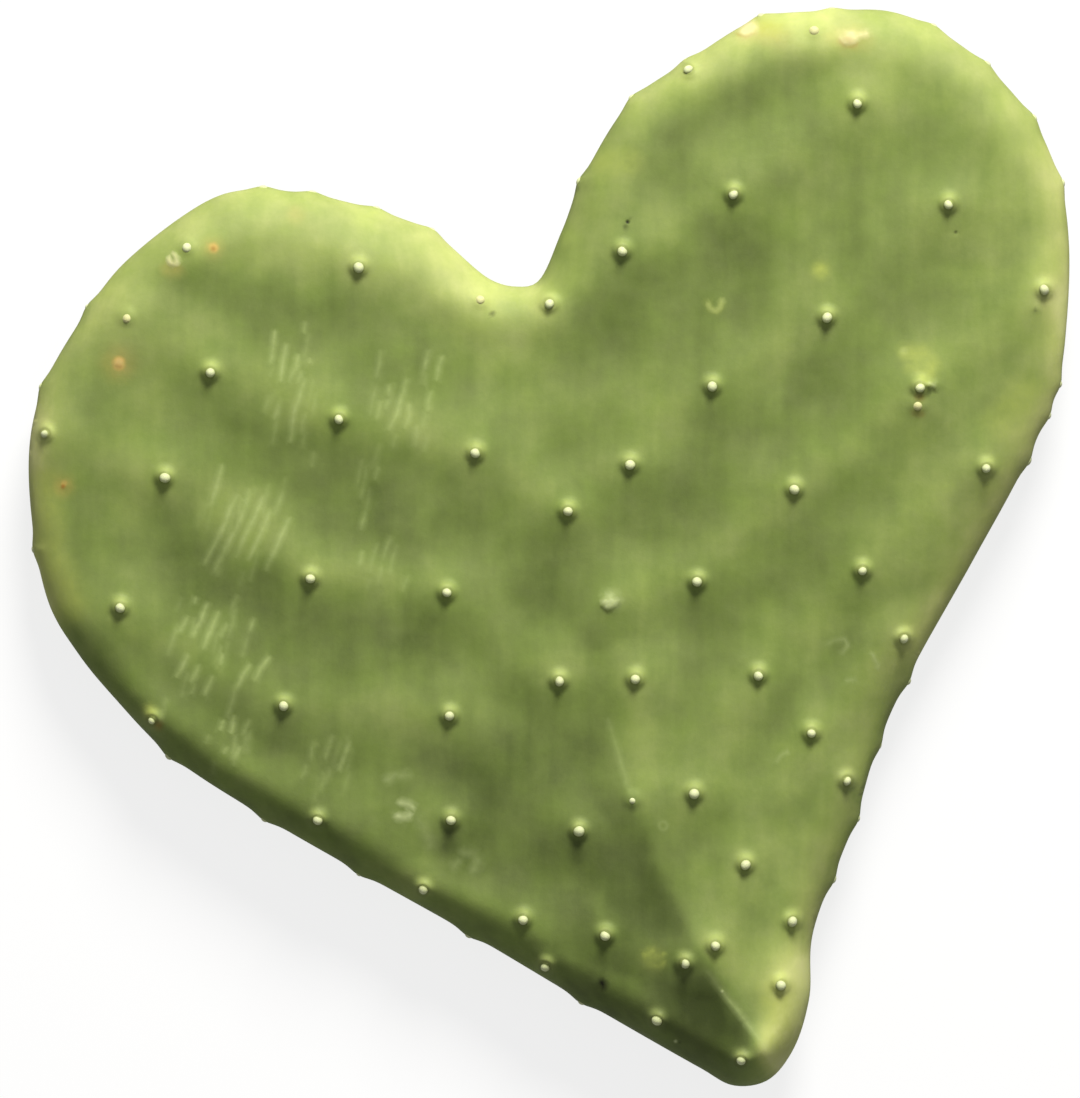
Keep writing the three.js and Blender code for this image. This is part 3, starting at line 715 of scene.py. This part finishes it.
def ruffle(points, side):
    """Irregular small undulation from a few crossing waves."""
    rng = np.random.default_rng(SEED + side)
    share = np.zeros(len(points))
    for _ in range(RUFFLE_WAVES):
        length = rng.uniform(*RUFFLE_LENGTHS)
        angle = rng.uniform(0, math.pi)
        phase = rng.uniform(0, 2 * math.pi)
        along = points @ unit(angle)
        share += np.sin(2 * math.pi * along / length + phase) * length / RUFFLE_LENGTHS[1]
    return share


def scratch_share(points):
    return SCRATCH_SHARE * strokes_share(points, scratches, taper=SCRATCH_TAPER)


def mark_share(points, kind):
    return strokes_share(points, MARKS[kind], MARK_POWER[kind])


def mark_rise(points):
    return sum(height * mark_share(points, kind) for kind, height in MARK_RELIEF.items())


def areole_rise(points, areoles):
    """Swelling, mound and the moat round the bead."""
    rise = np.zeros(len(points))
    for areole in areoles:
        distance = distance_to(points, areole)
        rise += SWELLING_HEIGHT * bell(distance, SWELLING_RADIUS)
        is_low = is_listed(areole, LOW)
        mound = LOW_MOUND_HEIGHT if is_low else MOUND_HEIGHT
        from_mound = distance_to(points, areole + MOUND_SHIFT)
        rise += mound * np.exp(-((from_mound / MOUND_RADIUS) ** MOUND_POWER))
        if not is_low:
            rise -= MOAT_DEPTH * bell(distance - MOAT_RADIUS, MOAT_HALF_WIDTH)
    return rise


def rim_rise(points, distance):
    return np.sqrt(1 - (1 - np.minimum(distance / rim_width(points), 1)) ** 2)


def front_height(points, distance):
    crown = FRONT_CROWN * smooth_step(distance, 0, FRONT_CROWN_REACH)
    body = RIM_HALF_THICKNESS + STEM_SWELL * stem_share(points) + keel_rise(points)
    relief = RIDGE_HEIGHT * ridge_share(points) + areole_rise(points, front_areoles)
    fine = SWELL_HEIGHT * summed_strokes(points, SWELLS) + RUFFLE_HEIGHT * ruffle(points, 0)
    rise = rim_rise(points, distance) * (body + relief + fine + mark_rise(points))
    return rim_height(points) + rise + crown


def back_height(points, distance):
    from_middle = distance_to(points, BELLY_CENTRE)
    belly = BELLY_DEPTH * (1 - smooth_step(from_middle, BELLY_MIDDLE, BELLY_REACH))
    body = RIM_HALF_THICKNESS + STEM_SWELL * stem_share(points) + belly
    fine = RUFFLE_HEIGHT * ruffle(points, 1) * smooth_step(from_middle, *RUFFLE_BELLY)
    depth = rim_rise(points, distance) * (body + areole_rise(points, back_areoles) + fine)
    return np.maximum(rim_height(points) - depth, 0)


# ---- Points and triangles of the skins ----


def min_distance(points, others):
    """Distance from each point to the nearest of the others."""
    nearest = np.full(len(points), np.inf)
    for low in range(0, len(others), SMALL_CHUNK):
        part = others[low:low + SMALL_CHUNK]
        gap = np.hypot(points[:, None, 0] - part[:, 0], points[:, None, 1] - part[:, 1])
        nearest = np.minimum(nearest, gap.min(1))
    return nearest


def place_lattice(step):
    rng = np.random.default_rng(SEED)
    low, high = outline_chain.min(0), outline_chain.max(0)
    rows = []
    for row, y in enumerate(np.arange(low[1], high[1], step * math.sqrt(3) / 2)):
        x = np.arange(low[0] + (row % 2) * step / 2, high[0], step)
        rows.append(np.column_stack([x, np.full(len(x), y)]))
    points = np.vstack(rows)
    points += rng.uniform(-LATTICE_JITTER, LATTICE_JITTER, points.shape) * step
    return points[is_inside(points, outline_chain)]


def ring_points(places, rings, scale=1):
    points = []
    for place in places:
        points.append([place])
        for radius, count in rings:
            angle = 2 * math.pi * (np.arange(count) + radius) / count
            ring = np.column_stack([np.cos(angle), np.sin(angle)])
            points.append(ring * radius * scale + place)
    return np.vstack(points)


def stroke_points(half_width, places):
    """Rows of points along a stroke, close enough to show its profile."""
    if len(places) == 1:
        return ring_points(places, MARK_RINGS, half_width)
    points = []
    for start, end in zip(places[:-1], places[1:]):
        start, end = np.array(start, float), np.array(end, float)
        length = math.dist(start, end)
        normal = np.array([start[1] - end[1], end[0] - start[0]]) / length
        for share in np.arange(0, 1, MARK_STEP / length):
            middle = start + (end - start) * share
            points += [middle + normal * offset * half_width for offset in MARK_OFFSETS]
    points.append(np.array(places[-1], float))
    return np.array(points)


def one_per_cell(points, size):
    """Keeps the first point of each square cell."""
    _, first = np.unique(np.round(points / size).astype(int), axis=0, return_index=True)
    return points[np.sort(first)]


def faint_scratches():
    rng = np.random.default_rng(SEED)
    strokes = []
    for middle, half_size, count in SCRATCH_FIELDS:
        for _ in range(count):
            start = np.array(middle) + rng.uniform(-1, 1, 2) * half_size
            angle = rng.uniform(*FAINT_ANGLE)
            step = unit(angle) * rng.uniform(*FAINT_LENGTH)
            bend = np.array([rng.uniform(-FAINT_BEND, FAINT_BEND), 0])
            places = [start, start + step / 2 + bend, start + step]
            strokes.append((rng.uniform(*FAINT_STRENGTH), places))
    return strokes


scratches = [
    (strength, SCRATCH_HALF_WIDTH, places) for strength, places in SCRATCHES + faint_scratches()
]


def mark_points():
    strokes = scratches + [stroke for kind in MARKS for stroke in MARKS[kind]]
    sets = [stroke_points(half_width, places) for _, half_width, places in strokes]
    return one_per_cell(np.vstack(sets), SEAM_GAP)


def rim_rings(stations, outward):
    """Rings down the rounded rim at even angles; crossing ones at the notch are dropped."""
    widths = rim_width(stations)
    angles = np.linspace(0, math.pi / 2, RIM_RING_COUNT + 1)[1:-1]
    insets = [(1 - math.cos(angle)) * widths for angle in angles]
    rings = np.vstack([stations - outward * inset[:, None] for inset in insets])
    distance = nearest_on_chain(rings, outline_chain, True)[0]
    return rings[distance > RING_FOLD_LIMIT * np.concatenate(insets) - RING_FOLD_SLACK]


def make_plan(stations, outward, areoles, lattice_step, marks):
    """Inner points of one skin, their distance to the outline, and its triangles."""
    rings = rim_rings(stations, outward)
    lattice = place_lattice(lattice_step)
    margin = nearest_on_chain(lattice, outline_chain, True)[0]
    lattice = lattice[margin > rim_width(lattice) * LATTICE_START]
    detail = ring_points(areoles, AREOLE_RINGS)
    for areole in areoles:
        rings = rings[distance_to(rings, areole) > AREOLE_CLEARING]
        lattice = lattice[distance_to(lattice, areole) > AREOLE_CLEARING + LATTICE_GAP]
        marks = marks[distance_to(marks, areole) > AREOLE_CLEARING]
    lattice = lattice[min_distance(lattice, marks) > MARK_GAP]
    rings = rings[min_distance(rings, marks) > MARK_GAP]
    inner = one_per_cell(np.vstack([detail, marks]), SEAM_GAP)
    inner = np.vstack([inner, rings, lattice])
    inner = inner[is_inside(inner, outline_chain)]
    distance, _, _, foot = nearest_on_chain(inner, outline_chain, True)
    keep = distance > EDGE_GAP
    inner, distance, foot = inner[keep], distance[keep], foot[keep]
    away = (foot - inner) / distance[:, None]
    return inner, distance, away, triangulate(np.vstack([stations, inner]), len(stations))


def triangulate(points, rim_count):
    """Triangles inside the closed rim that the first points make, counterclockwise."""
    edges = [(i, (i + 1) % rim_count) for i in range(rim_count)]
    made = delaunay_2d_cdt([Vector(p) for p in points.tolist()], edges, [], 0, MERGE_GAP, True)
    coords, _, faces, sources = made[:4]
    if len(coords) != len(points):
        raise ValueError("two vertices of the plan fall together")
    faces = np.array([source[0] for source in sources])[np.array(faces)]
    faces = faces[is_inside(points[faces].mean(1), points[:rim_count])]
    a, b, c = (points[faces[:, k]] for k in range(3))
    area = (b - a)[:, 0] * (c - a)[:, 1] - (b - a)[:, 1] * (c - a)[:, 0]
    faces[area < 0] = faces[area < 0][:, ::-1]
    return faces


def rim_feet(stations):
    """For each rim areole, the nearest station's number and its place in space."""
    feet = []
    for areole in rim_areoles:
        nearest = distance_to(stations, areole).argmin()
        place = stations[nearest]
        feet.append((nearest, np.array([*place, rim_height(place[None])[0]])))
    return feet


def bulge_rim(vertices, stations, outward):
    """Raises the areoles that stand out from the rim."""
    moved = vertices.copy()
    for nearest, foot in rim_feet(stations):
        distance = np.linalg.norm(vertices - foot, axis=1)
        bulge = RIM_AREOLE_HEIGHT * bell(distance, RIM_AREOLE_SPREAD * math.sqrt(2))
        moved[:, :2] += outward[nearest] * bulge[:, None]
    return moved


# ---- Pieces ----


def add_object(name, data):
    added = bpy.data.objects.new(name, data)
    bpy.context.scene.collection.objects.link(added)
    return added


def make_mesh(name, vertices, faces, attributes):
    mesh = bpy.data.meshes.new(name)
    mesh.from_pydata((vertices * MM).tolist(), [], faces.tolist())
    mesh.polygons.foreach_set("use_smooth", np.ones(len(faces), bool))
    for key, values in attributes.items():
        layer = mesh.attributes.new(key, "FLOAT", "POINT")
        layer.data.foreach_set("value", np.asarray(values, np.float32))
    mesh.update()
    return add_object(name, mesh)


def skin_tone(plan, distance, away):
    """0 for the darkest green, 1 for the palest, with painted light and shade in it as well as the
    skin's own tone.
    """
    tone = np.full(len(plan), TONE_MIDDLE)
    # painted light on the ridges and painted shade between them
    tone += RIDGE_LIGHT_AND_SHADE * (ridge_share(plan) - 0.5)
    # painted shade: no pale margin on the lower-left side, turned from the key light
    shaded = smooth_step(away @ SHADED_RIM_SIDE, *SHADED_RIM_TURN)
    tone += TONE_MARGIN * (1 - shaded) * bell(distance, MARGIN_REACH)
    # painted light along the margin that faces the key light
    lit = smooth_step(away @ LIT_RIM_SIDE, *LIT_RIM_TURN)
    tone += TONE_LIT_RIM * lit * bell(distance, LIT_RIM_REACH)
    return tone


def patch_tone(plan):
    """What the front's swells, keel and patches add to the tone: mostly painted light and shade,
    with some of the skin's own mottling.
    """
    swells = SWELL_LIGHT_AND_SHADE * summed_strokes(plan, SWELLS)
    return swells + keel_light_and_shade(plan) + summed_strokes(plan, LIGHT_SHADE_AND_MOTTLE)


def raised(areoles):
    return [areole for areole in areoles if not is_listed(areole, LOW)]


def lit_halo_share(plan, areoles):
    """Painted light: the pale crescent on the lit upper side of each bead's mound, with a little
    of the areole's own paler skin.
    """
    middles = [areole + LIT_HALO_SHIFT for areole in raised(areoles)]
    return LIT_HALO_SHARE * sum(bell(distance_to(plan, middle), LIT_HALO_RADIUS) for middle in middles)


def moat_shade_share(plan, areoles):
    """Painted shade: the dark ring in the groove round each bead."""
    distances = [distance_to(plan, areole) for areole in raised(areoles)]
    return sum(bell(distance - MOAT_RADIUS, MOAT_SHADE_HALF_WIDTH) for distance in distances)


def make_pad_skin(stations, outward):
    no_marks = np.zeros((0, 2))
    front = make_plan(stations, outward, woolly_areoles, FRONT_LATTICE_STEP, mark_points())
    back = make_plan(stations, outward, back_areoles, BACK_LATTICE_STEP, no_marks)
    rim_count, front_count = len(stations), len(front[0])
    plan = np.vstack([stations, front[0], back[0]])
    distance = np.concatenate([np.zeros(rim_count), front[1], back[1]])
    away = np.vstack([outward, front[2], back[2]])
    is_front = np.arange(len(plan)) < rim_count + front_count
    height = np.zeros(len(plan))
    height[is_front] = front_height(plan[is_front], distance[is_front])
    height[~is_front] = back_height(plan[~is_front], distance[~is_front])
    height[:rim_count] = rim_height(stations)
    vertices = bulge_rim(np.column_stack([plan, height]), stations, outward)
    back_faces = np.where(back[3] < rim_count, back[3], back[3] + front_count)[:, ::-1]
    faces = np.vstack([front[3], back_faces])

    front_share = np.where(is_front, 1, bell(distance, ROUND_THE_RIM))
    attributes = {
        "tone": skin_tone(plan, distance, away) + patch_tone(plan) * front_share,
        "scratch": scratch_share(plan) * front_share,
    }
    # Painted light in the halos and painted shade in the grooves round the beads.
    for kind, share in (("halo", lit_halo_share), ("moat_shade", moat_shade_share)):
        on_front, on_back = share(plan, woolly_areoles), share(plan, back_areoles)
        attributes[kind] = np.where(is_front, on_front, on_back)
    for kind in MARKS:
        if kind in MARK_COLOURS:
            attributes[kind] = mark_share(plan, kind) * front_share
    return make_mesh("pad_skin", vertices, faces, attributes)


def surface_spots(areoles, height_at, sign):
    """Places on top of the mounds and the skin's normals there."""
    spots = []
    for areole in areoles:
        around = areole + np.array([[0, 0], [SLOPE_STEP, 0], [0, SLOPE_STEP]])
        distance = nearest_on_chain(around, outline_chain, True)[0]
        here, right, up = height_at(around, distance)
        normal = np.array([here - right, here - up, SLOPE_STEP]) * sign
        normal /= np.linalg.norm(normal)
        lift = normal * STEEP_LIFT * (1 - abs(normal[2]))
        spots.append((np.array([*areole, here]) + lift, normal))
    return spots


def bead_template():
    shape = bmesh.new()
    bmesh.ops.create_icosphere(shape, subdivisions=3, radius=1)
    shape.verts.ensure_lookup_table()
    vertices = np.array([v.co[:] for v in shape.verts])
    faces = np.array([[v.index for v in face.verts] for face in shape.faces])
    shape.free()
    return vertices, faces


def make_beads(name, spots, seed):
    """A woolly bead on each spot: flattened, a little uneven, its height as an attribute."""
    rng = np.random.default_rng(seed)
    template, template_faces = bead_template()
    vertices, faces, crowns, blushes = [], [], [], []
    for place, normal in spots:
        side = np.cross(normal, BEAD_TURN)
        side /= np.linalg.norm(side)
        axes = np.array([side, np.cross(normal, side), normal])
        size = BEAD_RADIUS * rng.uniform(*BEAD_SIZES)
        size *= SMALL_SCALE if is_listed(place, SMALL) else 1
        lumps = np.ones(len(template))
        for _ in range(BEAD_LUMPS):
            toward = rng.normal(size=3)
            toward /= np.linalg.norm(toward)
            lumps += rng.uniform(*BEAD_LUMP_HEIGHTS) * np.clip(template @ toward, 0, 1) ** 2
        shaped = template * lumps[:, None] * size * [1, rng.uniform(*BEAD_OVALS), BEAD_FLATNESS]
        centre = place - normal * BEAD_SINK * size / BEAD_RADIUS
        centre[2] = max(centre[2], BEAD_LOWEST)
        faces.append(template_faces + len(template) * len(vertices))
        vertices.append(centre + shaped @ axes)
        crowns.append(template[:, 2])
        blush = 1 if is_listed(place, BLUSHING) else FAINT_BLUSH * rng.random()
        blushes.append(np.full(len(template), blush))
    attributes = {"crown": np.concatenate(crowns), "blush": np.concatenate(blushes)}
    return make_mesh(name, np.vstack(vertices), np.vstack(faces), attributes)


# ---- Materials ----


def add_node(tree, kind, **settings):
    node = tree.nodes.new(kind)
    for key, value in settings.items():
        setattr(node, key, value)
    return node


def feed(tree, socket, value):
    """Links an output to the socket, or sets the socket to a plain value."""
    if isinstance(value, bpy.types.NodeSocket):
        tree.links.new(value, socket)
    else:
        socket.default_value = value


def calculate(tree, operation, *values, clamp=False):
    node = add_node(tree, "ShaderNodeMath", operation=operation, use_clamp=clamp)
    for socket, value in zip(node.inputs, values):
        feed(tree, socket, value)
    return node.outputs[0]


def read_attribute(tree, name):
    return add_node(tree, "ShaderNodeAttribute", attribute_name=name).outputs["Fac"]


def add_noise(tree, scale, detail, stretch=(1, 1, 1)):
    """Noise from 0 to 1 in the pad's own coordinates; scale counts features a metre."""
    place = add_node(tree, "ShaderNodeTexCoord").outputs["Object"]
    mapping = add_node(tree, "ShaderNodeMapping")
    mapping.inputs["Scale"].default_value = stretch
    noise = add_node(tree, "ShaderNodeTexNoise")
    noise.inputs["Scale"].default_value = scale
    noise.inputs["Detail"].default_value = detail
    tree.links.new(place, mapping.inputs["Vector"])
    tree.links.new(mapping.outputs["Vector"], noise.inputs["Vector"])
    return noise.outputs["Fac"]


def mix_colour(tree, share, first, second, blend="MIX"):
    node = add_node(tree, "ShaderNodeMix", data_type="RGBA", blend_type=blend)
    feed(tree, node.inputs["Factor"], share)
    feed(tree, node.inputs[6], first)  # its colour sockets share their names with others
    feed(tree, node.inputs[7], second)
    return node.outputs[2]


def colour_ramp(tree, share, stops):
    node = add_node(tree, "ShaderNodeValToRGB")
    points = node.color_ramp.elements
    while len(points) < len(stops):
        points.new(0.5)
    for point, (position, colour) in zip(points, stops):
        point.position = position
        point.color = (*colour, 1)
    tree.links.new(share, node.inputs["Fac"])
    return node.outputs["Color"]


def add_bump(tree, height, strength, depth, normal=None):
    node = add_node(tree, "ShaderNodeBump")
    node.inputs["Strength"].default_value = strength
    node.inputs["Distance"].default_value = depth * MM
    tree.links.new(height, node.inputs["Height"])
    if normal:
        tree.links.new(normal, node.inputs["Normal"])
    return node.outputs["Normal"]


def new_material(name, values):
    """A material with plain values on its shader's sockets, its nodes and that shader."""
    material = bpy.data.materials.new(name)
    material.use_nodes = True
    shader = material.node_tree.nodes["Principled BSDF"]
    for socket, value in values.items():
        shader.inputs[socket].default_value = value
    return material, material.node_tree, shader


def skin_material():
    material, tree, shader = new_material("cactus_skin", SKIN_SHADER)
    tone = read_attribute(tree, "tone")
    for noise, share in TONE_NOISES:
        centred = calculate(tree, "SUBTRACT", add_noise(tree, *noise), 0.5)
        tone = calculate(tree, "MULTIPLY_ADD", centred, share, tone)
    colour = colour_ramp(tree, tone, SKIN_COLOURS)
    tint = colour_ramp(tree, add_noise(tree, *TINT_NOISE), SKIN_TINTS)
    colour = mix_colour(tree, 1, colour, tint, "MULTIPLY")
    mottle = add_noise(tree, *MOTTLE_NOISE)
    ragged = calculate(tree, "MULTIPLY_ADD", mottle, MARK_RAGGEDNESS, MARK_LEAST)
    for kind, paint in MARK_COLOURS.items():
        share = calculate(tree, "MULTIPLY", read_attribute(tree, kind), ragged, clamp=True)
        colour = mix_colour(tree, share, colour, paint)
    # painted shade in the groove round each bead
    moat_shade = calculate(tree, "MULTIPLY", read_attribute(tree, "moat_shade"), MOAT_SHADE_SHARE)
    colour = mix_colour(tree, moat_shade, colour, MOAT_SHADE_COLOUR)
    tree.links.new(colour, shader.inputs["Base Color"])

    patch = add_noise(tree, *PATCH_NOISE)
    rough = calculate(tree, "MULTIPLY_ADD", patch, PATCH_ROUGHNESS, SKIN_ROUGHNESS)
    cork = read_attribute(tree, "cork")
    rough = calculate(tree, "MULTIPLY_ADD", cork, CORK_ROUGHNESS, rough, clamp=True)
    tree.links.new(rough, shader.inputs["Roughness"])
    bump = add_bump(tree, add_noise(tree, *PORE_NOISE), *PORE_BUMP)
    bump = add_bump(tree, patch, *PATCH_BUMP, bump)
    tree.links.new(bump, shader.inputs["Normal"])
    return material


def wool_material():
    material, tree, shader = new_material("areole_wool", WOOL_SHADER)
    fuzz = add_noise(tree, *FUZZ_NOISE)
    # paler towards a bead's top and darker towards its foot: partly painted light and shade
    crown = calculate(tree, "SUBTRACT", read_attribute(tree, "crown"), CROWN_SHIFT)
    share = calculate(tree, "MULTIPLY_ADD", fuzz, FUZZ_SHARE, crown)
    colour = colour_ramp(tree, share, WOOL_COLOURS_AND_SHADE)
    blush = calculate(tree, "MULTIPLY", read_attribute(tree, "blush"), BLUSH_SHARE)
    colour = mix_colour(tree, blush, colour, WOOL_BLUSH)
    tree.links.new(colour, shader.inputs["Base Color"])
    tree.links.new(add_bump(tree, fuzz, *FUZZ_BUMP), shader.inputs["Normal"])
    return material


# ---- Stage ----


def make_floor():
    half = FLOOR_SIZE / 2
    mesh = bpy.data.meshes.new("floor")
    corners = [(-half, -half, 0), (half, -half, 0), (half, half, 0), (-half, half, 0)]
    mesh.from_pydata(corners, [], [(0, 1, 2, 3)])
    mesh.materials.append(new_material("floor_white", FLOOR_SHADER)[0])
    floor = add_object("floor", mesh)
    floor.visible_diffuse = False  # it doesn't light the pad's dark side
    floor.visible_glossy = False


def add_key_light():
    data = bpy.data.lights.new("key", "AREA")
    data.shape = "DISK"
    data.size = KEY_SIZE
    data.energy = KEY_POWER
    data.color = KEY_COLOUR
    light = add_object("key", data)
    a, e = math.radians(KEY_AZIMUTH), math.radians(KEY_ELEVATION)
    toward = Vector((math.cos(a) * math.cos(e), math.sin(a) * math.cos(e), math.sin(e)))
    light.location = toward * KEY_DISTANCE
    light.rotation_euler = (-toward).to_track_quat("-Z", "Y").to_euler()


def light_stage():
    world = bpy.data.worlds.new("studio")
    bpy.context.scene.world = world
    world.use_nodes = True
    background = world.node_tree.nodes["Background"]
    background.inputs["Color"].default_value = (1, 1, 1, 1)
    background.inputs["Strength"].default_value = SKY_STRENGTH
    add_key_light()
    bpy.context.scene.view_settings.view_transform = "Standard"


def make_camera():
    """Straight above the pad, framed as the photograph is."""
    data = bpy.data.cameras.new("camera")
    data.sensor_width = SENSOR_WIDTH
    data.lens = data.sensor_width * CAMERA_DISTANCE / (PHOTO_HEIGHT / PHOTO_SCALE * MM)
    camera = add_object("camera", data)
    height = CAMERA_DISTANCE + CAMERA_FOCUS_HEIGHT * MM
    camera.location = (FRAME_MIDDLE[0] * MM, FRAME_MIDDLE[1] * MM, height)
    bpy.context.scene.camera = camera


def finish_piece(piece, material):
    piece.data.materials.append(material)
    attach(piece, "root")


make_floor()
light_stage()
make_camera()

stations, outward = even_steps(outline_chain, RIM_STEP)
skin = make_pad_skin(stations, outward)
finish_piece(skin, skin_material())
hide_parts("pad")

wool = wool_material()
front_spots = surface_spots(woolly_areoles, front_height, 1)
back_spots = surface_spots(back_areoles, back_height, -1)
rim_spots = [
    (foot + [*outward[nearest] * RIM_BEAD_OUT, 0], np.array([*outward[nearest], 0]))
    for nearest, foot in rim_feet(stations)
]
for name, spots in (("front", front_spots), ("back", back_spots), ("rim", rim_spots)):
    finish_piece(make_beads("areole_beads_" + name, spots, SEED), wool)
